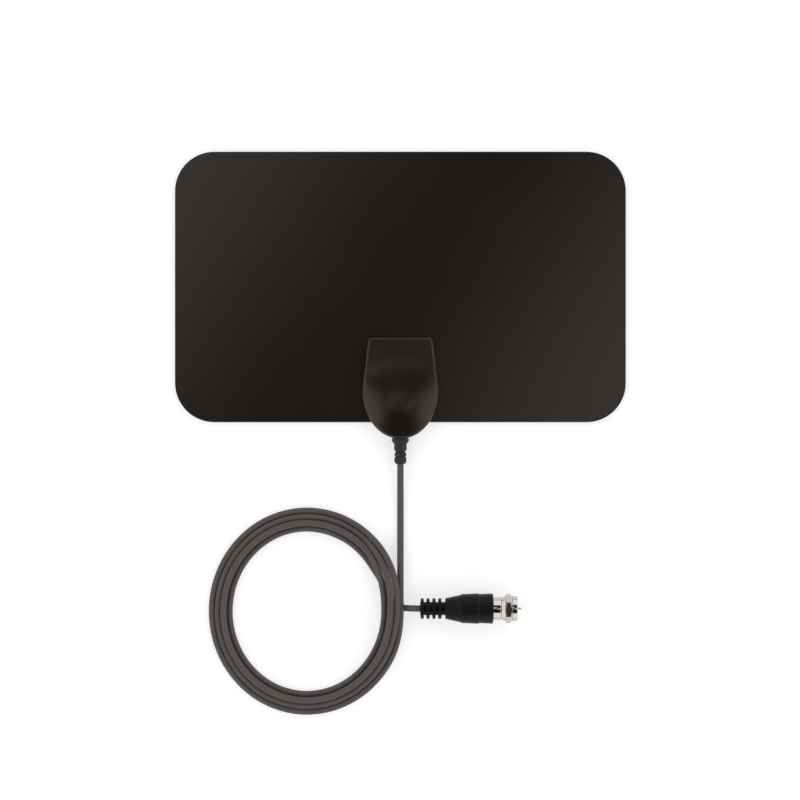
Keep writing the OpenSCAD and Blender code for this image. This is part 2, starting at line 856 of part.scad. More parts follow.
// Nut that turns freely on the neck: a tapered rear, a hexagon and a round front collar
module coupling_nut() {
    corners = nut_flats / cos(30);
    cone_end = nut_at + 1.8;
    hex_end = nut_at + 4.4;
    color("#d2cfc9")
        along_plug()
            difference() {
                union() {
                    rotate_extrude()
                        polygon([
                            [0, nut_at], [nut_flats / 2 - 0.6, nut_at], [nut_flats / 2 - 0.4, nut_at + 0.3],
                            [nut_flats / 2, cone_end], [nut_flats / 2 - 0.2, cone_end + 0.2],
                            [nut_flats / 2 - 0.2, hex_end], [nut_flats / 2, hex_end + 0.3],
                            [nut_flats / 2, nut_end - 0.4], [nut_flats / 2 - 0.4, nut_end], [0, nut_end],
                        ]);
                    intersection() {
                        translate([0, 0, cone_end])
                            rotate(90)
                                cylinder(d = corners, h = hex_end - cone_end, $fn = 6);
                        rotate_extrude()
                            polygon([
                                [0, cone_end], [nut_flats / 2 + 0.1, cone_end],
                                [corners / 2, cone_end + 0.5], [corners / 2, hex_end - 0.5],
                                [nut_flats / 2 + 0.1, hex_end], [0, hex_end],
                            ]);
                    }
                }
                translate([0, 0, nut_at - 1])
                    cylinder(d = lip_bore, h = nut_len + 2);
                translate([0, 0, nut_at + lip_t])
                    cylinder(d = nut_bore, h = nut_len);
                translate([0, 0, nut_end - 0.4])
                    cylinder(d1 = nut_bore, d2 = nut_bore + 1, h = 0.5);
            }
}

module plug_insulator() {
    color("#f2efe8")
        along_plug()
            translate([0, 0, barrel_at])
                tube(insulator_d, ferrule_d + gap / 2, insulator_end - barrel_at);
}

// Centre pin: a ferrule inside the insulator, and the bare pin that goes into the socket
module centre_pin() {
    color("#c9b68a")
        along_plug() {
            translate([0, 0, barrel_at])
                cylinder(d = ferrule_d, h = insulator_end - barrel_at);
            translate([0, 0, insulator_end])
                cylinder(d = pin_d, h = pin_end - pin_tip - insulator_end);
            translate([0, 0, pin_end - pin_tip])
                cylinder(d1 = pin_d, d2 = pin_d - 0.4, h = pin_tip);
        }
}

front_film();
back_film();
left_element();
right_element();
front_cover();
back_cover();
cover_screws();
circuit_board();
contact_rivets();
balun_core();
balun_winding();
chip_parts();
solder_joints();
strain_relief();
cable_jacket();
cable_braid();
cable_dielectric();
cable_core_wire();
cord_lead();
cord_coil();
cord_tail();
plug_grip();
connector_post();
coupling_nut();
plug_insulator();
centre_pin();
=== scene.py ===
import math

import bmesh
import bpy
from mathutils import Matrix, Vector


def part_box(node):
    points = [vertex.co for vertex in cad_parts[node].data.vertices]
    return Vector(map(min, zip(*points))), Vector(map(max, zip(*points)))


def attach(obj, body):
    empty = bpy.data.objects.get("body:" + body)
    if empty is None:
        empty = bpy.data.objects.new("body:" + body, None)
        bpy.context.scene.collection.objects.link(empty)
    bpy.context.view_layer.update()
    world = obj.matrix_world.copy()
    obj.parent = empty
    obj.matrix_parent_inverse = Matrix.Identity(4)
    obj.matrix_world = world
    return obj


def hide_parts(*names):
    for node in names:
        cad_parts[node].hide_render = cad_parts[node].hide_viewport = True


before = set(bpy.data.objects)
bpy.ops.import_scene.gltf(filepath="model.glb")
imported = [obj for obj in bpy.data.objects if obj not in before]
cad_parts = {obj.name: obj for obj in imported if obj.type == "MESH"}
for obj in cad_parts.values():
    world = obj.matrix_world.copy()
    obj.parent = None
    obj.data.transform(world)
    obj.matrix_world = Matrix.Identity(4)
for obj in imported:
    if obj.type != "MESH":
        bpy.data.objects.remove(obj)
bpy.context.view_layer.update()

# Camera
# The antenna lies on its back, so the camera hangs over it and looks straight down, a little
# below the middle of the sheet, as the photograph shows it.
MM = 0.001
scene = bpy.context.scene
SHEET_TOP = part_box("front_film")[1].z
CAMERA_X = -0.18
CAMERA_Y = -40.9
CAMERA_HEIGHT = 986

camera_data = bpy.data.cameras.new("camera")
camera_data.lens = 100
camera_data.sensor_width = 36
camera = bpy.data.objects.new("camera", camera_data)
camera.location = (CAMERA_X * MM, CAMERA_Y * MM, SHEET_TOP + CAMERA_HEIGHT * MM)
scene.collection.objects.link(camera)
scene.camera = camera
scene.view_settings.view_transform = "Standard"


# Coaxial cable
# A thin 75 ohm lead with an extruded grey PVC jacket. It runs from the strain relief down to a coil
# of four turns, and its end passes under the other strands and rises into the plug.
CABLE_D = 2.9
CABLE_Z = CABLE_D / 2
EXIT = (0, -69.25, 4.4)
PLUG_Y = -133
PLUG_Z = 6.7
LEAD_ROUTE = [
    EXIT, (0, -72, 4.4), (0, -75, 4.2), (0, -78, 3.7), (0, -81, 3), (0, -84, 2.3),
    (0, -87, 1.75), (0, -90, 1.5), (0, -94, CABLE_Z), (0, -98, CABLE_Z),
]
# From here on the route is given in plan, and its heights follow from what lies below
LEAD_PLAN_FROM = -102
COIL_X = -41.5
COIL_Y = -134.65
COIL_STRETCH = 2.4
POINTS_PER_TURN = 96
# Radii of the four strands, from outside; the third rides up between its neighbours
STRAND_R = [42.15, 39.45, 36.9, 34.4]
# Where each later turn moves in by one strand, as an angle from the right and a span
MOVES = [(42, 60), (46, 58), (52, 55)]
# The lead comes in at the coil's right side and reaches the outermost radius after this angle
LEAD_JOINS = 30
# The innermost strand leaves the coil at this angle and passes under the others
LEAVES_AT = 36
TAIL_TURN = [(-10.6, -117.6), (-8.1, -121.9), (-6.1, -126), (-4.1, -129.6), (-1.9, -132)]
TAIL_RISE = [(-0.2, -132.85, 2.2), (1, PLUG_Y, 2.9)]
TAIL_ROUTE = [
    (2.4, PLUG_Y, 4.05), (3.6, PLUG_Y, 5.1), (5, PLUG_Y, 5.9),
    (6.5, PLUG_Y, PLUG_Z - 0.25), (8.2, PLUG_Y, PLUG_Z), (29.4, PLUG_Y, PLUG_Z),
]
# Degrees turned at which the cable changes to another layer of the pile: 0 is the lowest
LAYERS = [(0, 1), (315, 2), (695, 3), (1055, 2), (1380, 0)]
LAYER_COUNT = 4
LEAD_LAYER = 1
TAIL_LAYER = 0
SMOOTHINGS = 2
REST_D = 2.96
# Radius at which the cable bends over what it rests on
BEND_R = 45


def ramp(t):
    return 0 if t <= 0 else 1 if t >= 1 else (1 - math.cos(math.pi * t)) / 2


def coil_plan(turned):
    """Place of the coil in plan after it has turned by so many degrees, clockwise from the right."""
    number, rest = divmod(turned + 180, 360)
    number, angle = int(number), 180 - rest
    last = len(STRAND_R) - 1
    radius = STRAND_R[min(number, last)]
    if number == 0:
        radius -= (STRAND_R[0] + COIL_X) * (1 - ramp(turned / LEAD_JOINS))
    elif number <= last:
        start, span = MOVES[number - 1]
        radius += (STRAND_R[number - 1] - radius) * (1 - ramp((start - angle) / span))
    x = COIL_X + radius * math.cos(math.radians(angle))
    return x, COIL_Y + (radius + COIL_STRETCH) * math.sin(math.radians(angle))


def layer_of(turned):
    """Layer of the pile that the coil is in after it has turned by so many degrees."""
    return [layer for start, layer in LAYERS if turned >= start][-1]


def resting_height(x, y, floor, below):
    """Height of the cable's middle where it lies on the floor and on the pieces of cable below it."""
    height = floor
    for (ax, ay, az), (bx, by, bz) in below:
        dx, dy = bx - ax, by - ay
        t = max(0, min(1, ((x - ax) * dx + (y - ay) * dy) / (dx * dx + dy * dy)))
        apart = math.hypot(x - ax - t * dx, y - ay - t * dy)
        if apart < REST_D:
            height = max(height, az + t * (bz - az) + math.sqrt(REST_D ** 2 - apart ** 2))
    return height


def settled(path):
    """Heights of a path of (x, y, floor height, layer), laid down layer by layer with gentle bends."""
    along = [0]
    for a, b in zip(path, path[1:]):
        along.append(along[-1] + math.hypot(b[0] - a[0], b[1] - a[1]))
    heights = [point[2] for point in path]
    upper = [i for i, point in enumerate(path) if point[3] > 0]
    for layer in range(1, LAYER_COUNT):
        below = [((*path[i][:2], heights[i]), (*path[i + 1][:2], heights[i + 1]))
                 for i in range(len(path) - 1) if max(path[i][3], path[i + 1][3]) < layer]
        for i in upper:
            x, y, floor, own = path[i]
            if own == layer:
                heights[i] = resting_height(x, y, floor, below)
        before = list(heights)
        for i in upper:
            heights[i] = max(before[j] - (along[i] - along[j]) ** 2 / (2 * BEND_R) for j in upper)
    for _ in range(SMOOTHINGS):
        before = list(heights)
        for i in upper[1:]:
            heights[i] = sum(before[i - 1:i + 2]) / 3
    return heights


def cable_route():
    """Points of the cable's middle from the exit to the plug, in millimetres."""
    step = 360 / POINTS_PER_TURN
    spacing = math.radians(step) * STRAND_R[0]
    lead_end = COIL_Y + spacing
    count = int((LEAD_PLAN_FROM - lead_end) / spacing)
    path = [(0, LEAD_PLAN_FROM + (lead_end - LEAD_PLAN_FROM) * i / count, CABLE_Z, LEAD_LAYER)
            for i in range(count + 1)]
    whole = 360 * len(STRAND_R)
    for k in range(int((whole - LEAVES_AT) / step) + 1):
        path.append((*coil_plan(k * step), CABLE_Z, layer_of(k * step)))
    path += [(x, y, CABLE_Z, TAIL_LAYER) for x, y in TAIL_TURN]
    path += [(x, y, z, TAIL_LAYER) for x, y, z in TAIL_RISE]
    middle = [(x, y, z) for (x, y, *_), z in zip(path, settled(path))]
    return LEAD_ROUTE + middle + TAIL_ROUTE


def linear(colour):
    """Linear red, green and blue of an sRGB hex colour, with alpha 1."""
    parts = [int(colour[i:i + 2], 16) / 255 for i in (1, 3, 5)]
    return [c / 12.92 if c <= 0.04045 else ((c + 0.055) / 1.055) ** 2.4 for c in parts] + [1]


def add(tree, kind, links=(), **settings):
    """Adds a node with its settings, and fills its sockets with values or with other nodes' outputs."""
    made = tree.nodes.new(kind)
    for name, value in settings.items():
        setattr(made, name, value)
    for socket, value in dict(links).items():
        if isinstance(value, bpy.types.NodeSocket):
            tree.links.new(value, made.inputs[socket])
        else:
            made.inputs[socket].default_value = value
    return made


# Sockets of the Mix node for its two colours and for its result
COLOUR_A, COLOUR_B, MIXED = 6, 7, 2


def new_finish(name):
    """An empty material with the piece's own coordinates in metres and a shader for its surface."""
    finish = bpy.data.materials.new(name)
    finish.use_nodes = True
    tree = finish.node_tree
    tree.nodes.clear()
    place = add(tree, "ShaderNodeTexCoord").outputs["Object"]
    shader = add(tree, "ShaderNodeBsdfPrincipled")
    add(tree, "ShaderNodeOutputMaterial", {"Surface": shader.outputs["BSDF"]})
    return finish, tree, place, shader


def set_shader(tree, shader, **values):
    for name, value in values.items():
        socket = shader.inputs[name.replace("_", " ")]
        if isinstance(value, bpy.types.NodeSocket):
            tree.links.new(value, socket)
        else:
            socket.default_value = value


def pvc_jacket():
    """Extruded PVC: an even satin grey with a faint mottle and fine drawing marks."""
    finish, tree, place, shader = new_finish("pvc_jacket")
    mottle = add(tree, "ShaderNodeTexNoise", {"Vector": place, "Scale": 1 / (9 * MM), "Detail": 3})
    grain = add(tree, "ShaderNodeTexNoise", {"Vector": place, "Scale": 1 / (0.5 * MM), "Detail": 2})
    colour = add(tree, "ShaderNodeMix", {
        "Factor": mottle.outputs["Fac"], COLOUR_A: linear("#484240"), COLOUR_B: linear("#514a48"),
    }, data_type="RGBA")
    rough = add(tree, "ShaderNodeMapRange", {"Value": mottle.outputs["Fac"], "To Min": 0.5, "To Max": 0.6})
    bump = add(tree, "ShaderNodeBump", {
        "Height": grain.outputs["Fac"], "Strength": 0.35, "Distance": 0.03 * MM,
    })
    set_shader(tree, shader, Base_Color=colour.outputs[MIXED], Roughness=rough.outputs["Result"],
               Normal=bump.outputs["Normal"], IOR=1.52, Specular_IOR_Level=0.35)
    return finish


def made_piece(name, data, body, finish, slot, *replaced):
    """Puts a finished mesh or curve on its body, in place of CAD nodes where some are named."""
    piece = bpy.data.objects.new(name, data)
    scene.collection.objects.link(piece)
    data.materials.clear()
    data.materials.append(finish)
    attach(piece, body)
    if replaced:
        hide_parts(*replaced)
    return piece


JACKET = pvc_jacket()
curve = bpy.data.curves.new("coaxial_cable", "CURVE")
curve.dimensions = "3D"
curve.bevel_depth = CABLE_D / 2 * MM
curve.bevel_resolution = 5
curve.resolution_u = 2
curve.use_fill_caps = True
route = cable_route()
spline = curve.splines.new("BEZIER")
spline.bezier_points.add(len(route) - 1)
for i, point in enumerate(spline.bezier_points):
    here, before, after = (Vector(route[k]) for k in (i, max(i - 1, 0), min(i + 1, len(route) - 1)))
    way = (after - before).normalized()
    left, right = here - way * (here - before).length / 3, here + way * (after - here).length / 3
    # A handle below the resting height would bend the cable into the table
    left.z, right.z = max(left.z, CABLE_Z), max(right.z, CABLE_Z)
    point.handle_left_type = point.handle_right_type = "FREE"
    point.co, point.handle_left, point.handle_right = here * MM, left * MM, right * MM
cable = made_piece("coaxial_cable", curve, "antenna", JACKET, "jacket",
                   "cord_lead", "cord_coil", "cord_tail")


# Sheet
# Two thin films of satin black plastic with the foil elements between them, pressed together and cut
# to a rounded rectangle. The foil shows nowhere.
# The black plastics have a slightly warm sheen
WARM_SHEEN = linear("#ffeee8")


def dress(name, finish):
    """Gives a CAD node its finish."""
    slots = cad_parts[name].data.materials
    slots.clear()
    slots.append(finish)


def satin_film():
    """Calendered polyester film: nearly black, with a broad soft sheen that fine embossing gives it."""
    finish, tree, place, shader = new_finish("satin_film")
    cloud = add(tree, "ShaderNodeTexNoise", {"Vector": place, "Scale": 1 / (45 * MM), "Detail": 2})
    # Real embossing is about 0.1 mm; it is drawn at 0.6 mm so that it just shows
    emboss = add(tree, "ShaderNodeTexNoise", {"Vector": place, "Scale": 1 / (0.6 * MM), "Detail": 2})
    colour = add(tree, "ShaderNodeMix", {
        "Factor": cloud.outputs["Fac"], COLOUR_A: linear("#13110c"), COLOUR_B: linear("#16130e"),
    }, data_type="RGBA")
    rough = add(tree, "ShaderNodeMapRange", {"Value": cloud.outputs["Fac"], "To Min": 0.13, "To Max": 0.16})
    bump = add(tree, "ShaderNodeBump", {
        "Height": emboss.outputs["Fac"], "Strength": 0.12, "Distance": 0.02 * MM,
    })
    set_shader(tree, shader, Base_Color=colour.outputs[MIXED], Roughness=rough.outputs["Result"],
               Normal=bump.outputs["Normal"], IOR=1.5, Specular_Tint=WARM_SHEEN)
    return finish


def rolled_foil():
    """Rolled aluminium foil: bright, with fine lines along the rolling direction."""
    finish, tree, place, shader = new_finish("rolled_foil")
    along = add(tree, "ShaderNodeMapping", {"Vector": place, "Scale": (1, 30, 1)})
    lines = add(tree, "ShaderNodeTexNoise", {
        "Vector": along.outputs["Vector"], "Scale": 1 / (8 * MM), "Detail": 4,
    })
    rough = add(tree, "ShaderNodeMapRange", {"Value": lines.outputs["Fac"], "To Min": 0.22, "To Max": 0.4})
    set_shader(tree, shader, Base_Color=linear("#c9cbce"), Metallic=1, Roughness=rough.outputs["Result"])
    return finish


FILM = satin_film()
FOIL = rolled_foil()
dress("front_film", FILM)
dress("back_film", FILM)
dress("left_element", FOIL)
dress("right_element", FOIL)


# Front cover
# A shell of black ABS with a domed belly, injection moulded, with a fine spark-eroded grain. It is
# screwed to the back cover through the sheet, and its nose holds the strain relief's neck.
COVER_TOP_Y = -13.35
SHEET_Z = 2
COVER_LEN = 44.4
COVER_TOP_W = 28.4
COVER_W = 33.8
BELLY_AT = 23.4
NOSE_W = 5.7
CORNER_R = 1.3
EDGE_R = 1
WALL = 1.3
TOP_RISE = 5
BELLY_RISE = 8
NOSE_RISE = 7
NOSE_SIDE = 6.5
SIDE_RISE = 5.6
FLAT_LEN = 7
CROWN_AT = 31
NOSE_B = (COVER_LEN - BELLY_AT) / math.sqrt(1 - (NOSE_W / COVER_W) ** 2)
NECK_D = 4.4
EXIT_Z = 4.4
GAP = 0.1
EDGE_STEPS = 8
ROOF_EDGE_R = 0.3
# Steps along the outline: top edge, corner, side, nose and the nose's flat end
TOP_STEPS, CORNER_STEPS, SIDE_STEPS, NOSE_STEPS, END_STEPS = 16, 8, 20, 48, 6
# Rings that the face and the roof inside are made of, by how far they are set in
FACE_PITCH = 0.65
FACE_RINGS = 18
ROOF_INSETS = [0, 0.08, 0.3, 1.2, 2.4, 4, 6, 8, 9.8]
PILLAR_SIDES = 32


def side_x(s, d):
    return COVER_TOP_W / 2 + (COVER_W - COVER_TOP_W) / 2 * s / BELLY_AT - d


def half_w(s):
    if s <= BELLY_AT:
        return side_x(s, 0)
    return COVER_W / 2 * math.sqrt(max(1 - ((s - BELLY_AT) / NOSE_B) ** 2, 0))


def cover_outline(d):
    """Closed outline set in by d, clockwise from the top edge's middle: x and distance from that edge."""
    r = max(CORNER_R - d, 0.2)
    flat_x = side_x(d, d) - r
    a = COVER_W / 2 - d
    b = NOSE_B - d
    last = math.asin((COVER_LEN - d - BELLY_AT) / b)
    half = [(flat_x * i / TOP_STEPS, d) for i in range(TOP_STEPS)]
    for i in range(CORNER_STEPS + 1):
        t = math.pi / 2 / CORNER_STEPS * i
        half.append((flat_x + r * math.sin(t), d + r * (1 - math.cos(t))))
    start = d + r
    for i in range(1, SIDE_STEPS):
        s = start + (BELLY_AT - start) * i / SIDE_STEPS
        half.append((side_x(s, d), s))
    for i in range(NOSE_STEPS + 1):
        t = last * i / NOSE_STEPS
        half.append((a * math.cos(t), BELLY_AT + b * math.sin(t)))
    end_x = half[-1][0]
    half += [(end_x * (1 - i / END_STEPS), COVER_LEN - d) for i in range(1, END_STEPS + 1)]
    return half + [(-x, s) for x, s in half[-2:0:-1]]


def crown(s):
    up = (BELLY_RISE - TOP_RISE) * ramp((s - FLAT_LEN) / (CROWN_AT - FLAT_LEN))
    down = (BELLY_RISE - NOSE_RISE) * ramp((s - CROWN_AT) / (COVER_LEN - CROWN_AT))
    return TOP_RISE + up - down


def side(s):
    up = (SIDE_RISE - TOP_RISE) * ramp(s / CROWN_AT)
    return TOP_RISE + up + (NOSE_SIDE - SIDE_RISE) * ramp((s - CROWN_AT) / (COVER_LEN - CROWN_AT))


def face_height(x, s):
    return side(s) + (crown(s) - side(s)) * (1 - min((x / half_w(s)) ** 2, 1))


def edge_fall(d, r):
    return 0 if d >= r else r - math.sqrt(r * r - (r - d) ** 2)


def face_ring(d, drop):
    return [(x, COVER_TOP_Y - s, SHEET_Z + face_height(x, s) - drop) for x, s in cover_outline(d)]


def base_ring(d):
    return [(x, COVER_TOP_Y - s, SHEET_Z) for x, s in cover_outline(d)]


def band(a, b, n):
    """Faces between two rings of n points that start at indices a and b."""
    return [(a + i, a + (i + 1) % n, b + (i + 1) % n, b + i) for i in range(n)]


def middle_cap(a, n):
    """Faces that close a ring of n points across its middle line."""
    m = n // 2
    strips = [(a + i, a + i + 1, a + n - i - 1, a + n - i) for i in range(1, m - 1)]
    return [(a, a + 1, a + n - 1)] + strips + [(a + m - 1, a + m, a + m + 1)]


def mesh_of(name, points, faces, sharp=35):
    """A mesh in metres from points in millimetres, smooth but for edges sharper than an angle."""
    data = bpy.data.meshes.new(name)
    data.from_pydata([[c * MM for c in p] for p in points], [], faces)
    tidy_mesh(data, sharp)
    return data


def tidy_mesh(data, sharp=35):
    work = bmesh.new()
    work.from_mesh(data)
    bmesh.ops.remove_doubles(work, verts=work.verts, dist=1e-7)
    bmesh.ops.recalc_face_normals(work, faces=work.faces)
    for face in work.faces:
        face.smooth = True
    for edge in work.edges:
        edge.smooth = len(edge.link_faces) == 2 and edge.calc_face_angle() < math.radians(sharp)
    work.to_mesh(data)
    work.free()


def pillar(x, s, d, low, high):
    """Points and faces of one upright round post."""
    n = PILLAR_SIDES
    turns = [2 * math.pi / n * i for i in range(n)]
    ring = [(x + d / 2 * math.cos(t), COVER_TOP_Y - s + d / 2 * math.sin(t)) for t in turns]
    points = [(px, py, z) for z in (low, high) for px, py in ring]
    return points, band(0, n, n) + [tuple(range(n - 1, -1, -1)), tuple(range(n, 2 * n))]


def joined(parts):
    points, faces = [], []
    for part_points, part_faces in parts:
        faces += [tuple(i + len(points) for i in face) for face in part_faces]
        points += part_points
    return points, faces


def cover_shell():
    n = len(cover_outline(0))
    fine = [EDGE_R * (1 - math.cos(math.pi / 2 * i / EDGE_STEPS)) for i in range(EDGE_STEPS + 1)]
    insets = fine + [EDGE_R + FACE_PITCH * i for i in range(1, FACE_RINGS + 1)]
    rings = [base_ring(0)] + [face_ring(d, edge_fall(d, EDGE_R)) for d in insets]
    inner = [base_ring(WALL)] + [face_ring(WALL + d, WALL + edge_fall(d, ROOF_EDGE_R)) for d in ROOF_INSETS]
    points = [p for ring in rings + inner for p in ring]
    faces = [f for k in range(len(rings) - 1) for f in band(k * n, (k + 1) * n, n)]
    faces += middle_cap((len(rings) - 1) * n, n)
    start = len(rings) * n
    faces += [f[::-1] for k in range(len(inner) - 1) for f in band(start + k * n, start + (k + 1) * n, n)]
    faces += [f[::-1] for f in middle_cap(start + (len(inner) - 1) * n, n)]
    faces += [f[::-1] for f in band(0, start, n)]
    return points, faces


def cut_away(piece, cutter):
    """Takes the cutter's shape out of a piece, and removes the cutter."""
    change = piece.modifiers.new("cut", "BOOLEAN")
    change.operation = "DIFFERENCE"
    change.solver = "EXACT"
    change.object = cutter
    bpy.context.view_layer.update()
    ready = bpy.data.meshes.new_from_object(piece.evaluated_get(bpy.context.evaluated_depsgraph_get()))
    piece.modifiers.remove(change)
    piece.data = ready
    bpy.data.objects.remove(cutter)
    tidy_mesh(ready)


def moulded_abs():
    """Moulded ABS: warm black, a fine matt grain from the tool and a soft satin sheen on the edges."""
    finish, tree, place, shader = new_finish("moulded_abs")
    cloud = add(tree, "ShaderNodeTexNoise", {"Vector": place, "Scale": 1 / (14 * MM), "Detail": 3})
    # The tool's grain is about 0.15 mm; it is drawn at 0.45 mm so that it shows
    grain = add(tree, "ShaderNodeTexNoise", {"Vector": place, "Scale": 1 / (0.45 * MM), "Detail": 3})
    colour = add(tree, "ShaderNodeMix", {
        "Factor": cloud.outputs["Fac"], COLOUR_A: linear("#110f0c"), COLOUR_B: linear("#151210"),
    }, data_type="RGBA")
    rough = add(tree, "ShaderNodeMapRange", {"Value": cloud.outputs["Fac"], "To Min": 0.19, "To Max": 0.24})
    bump = add(tree, "ShaderNodeBump", {
        "Height": grain.outputs["Fac"], "Strength": 0.3, "Distance": 0.03 * MM,
    })
    set_shader(tree, shader, Base_Color=colour.outputs[MIXED], Roughness=rough.outputs["Result"],
               Normal=bump.outputs["Normal"], IOR=1.53, Specular_IOR_Level=0.42,
               Specular_Tint=WARM_SHEEN)
    return finish


ABS = moulded_abs()
front_cover = bpy.data.objects.new("front_cover_shell", mesh_of("front_cover_shell", *cover_shell()))
scene.collection.objects.link(front_cover)
SLOT_ROOM = 0.8
CUT_PAST = 1
NECK_SIDES = 48
slot_half = NECK_D / 2 + SLOT_ROOM
slot_low, slot_high = SHEET_Z - CUT_PAST, EXIT_Z
slot_near, slot_far = COVER_TOP_Y - COVER_LEN - CUT_PAST, COVER_TOP_Y - COVER_LEN + WALL + CUT_PAST
slot_points = [(x, y, z) for z in (slot_low, slot_high) for x, y in (
    (-slot_half, slot_near), (slot_half, slot_near), (slot_half, slot_far), (-slot_half, slot_far),
)]
slot_faces = band(0, 4, 4) + [(3, 2, 1, 0), (4, 5, 6, 7)]
cutter = bpy.data.objects.new("slot_cutter", mesh_of("slot_cutter", slot_points, slot_faces))
scene.collection.objects.link(cutter)
cut_away(front_cover, cutter)
neck_r = NECK_D / 2 + GAP
neck_turns = [2 * math.pi / NECK_SIDES * i for i in range(NECK_SIDES)]
neck = [(neck_r * math.cos(t), y, EXIT_Z + neck_r * math.sin(t))
        for y in (slot_near, slot_far) for t in neck_turns]
neck_faces = band(0, NECK_SIDES, NECK_SIDES)
neck_faces += [tuple(range(NECK_SIDES - 1, -1, -1)), tuple(range(NECK_SIDES, 2 * NECK_SIDES))]
cutter = bpy.data.objects.new("neck_cutter", mesh_of("neck_cutter", neck, neck_faces))
scene.collection.objects.link(cutter)
cut_away(front_cover, cutter)
shell_data = front_cover.data
bpy.data.objects.remove(front_cover)
made_piece("front_cover_shell", shell_data, "antenna", ABS, "housing", "front_cover")

# Screw bosses and board posts stand inside the shell and are moulded in one with it
BOSS_D = 4.4
BOSS_X = 11
BOSS_ROWS = (6, 30)
POST_D = 1.8
POST_X = 5.5
POST_AT = 14.2
POST_FOOT = 1
BOSSES = [(x, s, BOSS_D) for x in (-BOSS_X, BOSS_X) for s in BOSS_ROWS]
POSTS = [(x, POST_AT, POST_D) for x in (-POST_X, POST_X)]
pillars = [pillar(x, s, d, SHEET_Z, SHEET_Z + face_height(x, s) - WALL / 2) for x, s, d in BOSSES]
pillars += [pillar(x, s, d, SHEET_Z + POST_FOOT, SHEET_Z + face_height(x, s) - WALL / 2)
            for x, s, d in POSTS]
made_piece("cover_bosses", mesh_of("cover_bosses", *joined(pillars)), "antenna", ABS, "housing")


# Back cover
# The flat rear half of the same moulding, with a rim and a saddle that close the nose behind the
# sheet's edge. It comes from the same tool finish.
dress("back_cover", ABS)


# Cover screws
# Four small countersunk steel screws, zinc plated, driven from behind into the front cover's bosses.
def zinc_steel():
    """Zinc-plated steel: a dull bluish grey with slight clouding."""
    finish, tree, place, shader = new_finish("zinc_steel")
    cloud = add(tree, "ShaderNodeTexNoise", {"Vector": place, "Scale": 1 / (1.5 * MM), "Detail": 3})
    rough = add(tree, "ShaderNodeMapRange", {"Value": cloud.outputs["Fac"], "To Min": 0.25, "To Max": 0.42})
    set_shader(tree, shader, Base_Color=linear("#a9acb0"), Metallic=1, Roughness=rough.outputs["Result"])
    return finish


dress("cover_screws", zinc_steel())


# Circuit board and its parts
# A small green glass-fibre board with a ferrite balun, its enamelled winding, three chip parts and
# soldered joints. Two brass rivets clamp the foil tabs to it. The covers hide them.
def solder_mask():
    """Glass-fibre laminate under green solder mask: glossy, with the weave faint below."""
    finish, tree, place, shader = new_finish("solder_mask")
    weave = add(tree, "ShaderNodeTexWave", {"Vector": place, "Scale": 1 / (4 * MM), "Distortion": 0.4})
    colour = add(tree, "ShaderNodeMix", {
        "Factor": weave.outputs["Fac"], COLOUR_A: linear("#245a39"), COLOUR_B: linear("#2f6b45"),
    }, data_type="RGBA")
    set_shader(tree, shader, Base_Color=colour.outputs[MIXED], Roughness=0.3, IOR=1.5)
    return finish


def plain_metal(name, colour, low, high):
    """A drawn or cast metal: one colour with slightly uneven polish."""
    finish, tree, place, shader = new_finish(name)
    cloud = add(tree, "ShaderNodeTexNoise", {"Vector": place, "Scale": 1 / (0.8 * MM), "Detail": 3})
    rough = add(tree, "ShaderNodeMapRange", {"Value": cloud.outputs["Fac"], "To Min": low, "To Max": high})
    set_shader(tree, shader, Base_Color=linear(colour), Metallic=1, Roughness=rough.outputs["Result"])
    return finish


def fired_ceramic(name, dark, light):
    """A fired or moulded dark body: matt, with a fine speckle."""
    finish, tree, place, shader = new_finish(name)
    speck = add(tree, "ShaderNodeTexNoise", {"Vector": place, "Scale": 1 / (0.3 * MM), "Detail": 4})
    colour = add(tree, "ShaderNodeMix", {
        "Factor": speck.outputs["Fac"], COLOUR_A: linear(dark), COLOUR_B: linear(light),
    }, data_type="RGBA")
    set_shader(tree, shader, Base_Color=colour.outputs[MIXED], Roughness=0.6)
    return finish


dress("circuit_board", solder_mask())
dress("contact_rivets", plain_metal("turned_brass", "#c8b27a", 0.22, 0.36))
dress("balun_core", fired_ceramic("ferrite", "#3e3b38", "#4f4b47"))
dress("balun_winding", plain_metal("enamelled_copper", "#a5552a", 0.2, 0.32))
dress("chip_parts", fired_ceramic("chip_ceramic", "#322f2c", "#403c39"))
dress("solder_joints", plain_metal("tin_solder", "#b5b8ba", 0.18, 0.35))


# Stripped cable end
# Inside the housing the jacket, braid, dielectric and inner wire are cut back in steps, and the
# braid and the wire are soldered to the board.
def polyethylene():
    """Extruded polyethylene, which is slightly translucent; drawn as an opaque milky white with a faint
    cloud.
    """
    finish, tree, place, shader = new_finish("polyethylene")
    cloud = add(tree, "ShaderNodeTexNoise", {"Vector": place, "Scale": 1 / (2 * MM), "Detail": 2})
    colour = add(tree, "ShaderNodeMix", {
        "Factor": cloud.outputs["Fac"], COLOUR_A: linear("#e9e3d6"), COLOUR_B: linear("#f1ece1"),
    }, data_type="RGBA")
    set_shader(tree, shader, Base_Color=colour.outputs[MIXED], Roughness=0.4, IOR=1.51)
    return finish


POLYETHYLENE = polyethylene()
dress("cable_jacket", JACKET)
dress("cable_braid", plain_metal("tinned_braid", "#b9a491", 0.3, 0.5))
dress("cable_dielectric", POLYETHYLENE)
dress("cable_core_wire", plain_metal("bare_copper", "#c07a4a", 0.22, 0.36))


# Strain relief
# One soft PVC moulding on the cable: a shoulder against the nose, a cone, a waist and two rings
# between narrow grooves. Its neck and flange sit in the nose.
RELIEF_LEN = 11.5
SHOULDER_R = 3.8
WAIST_R = 2.8
FLANGE_R = 2.9


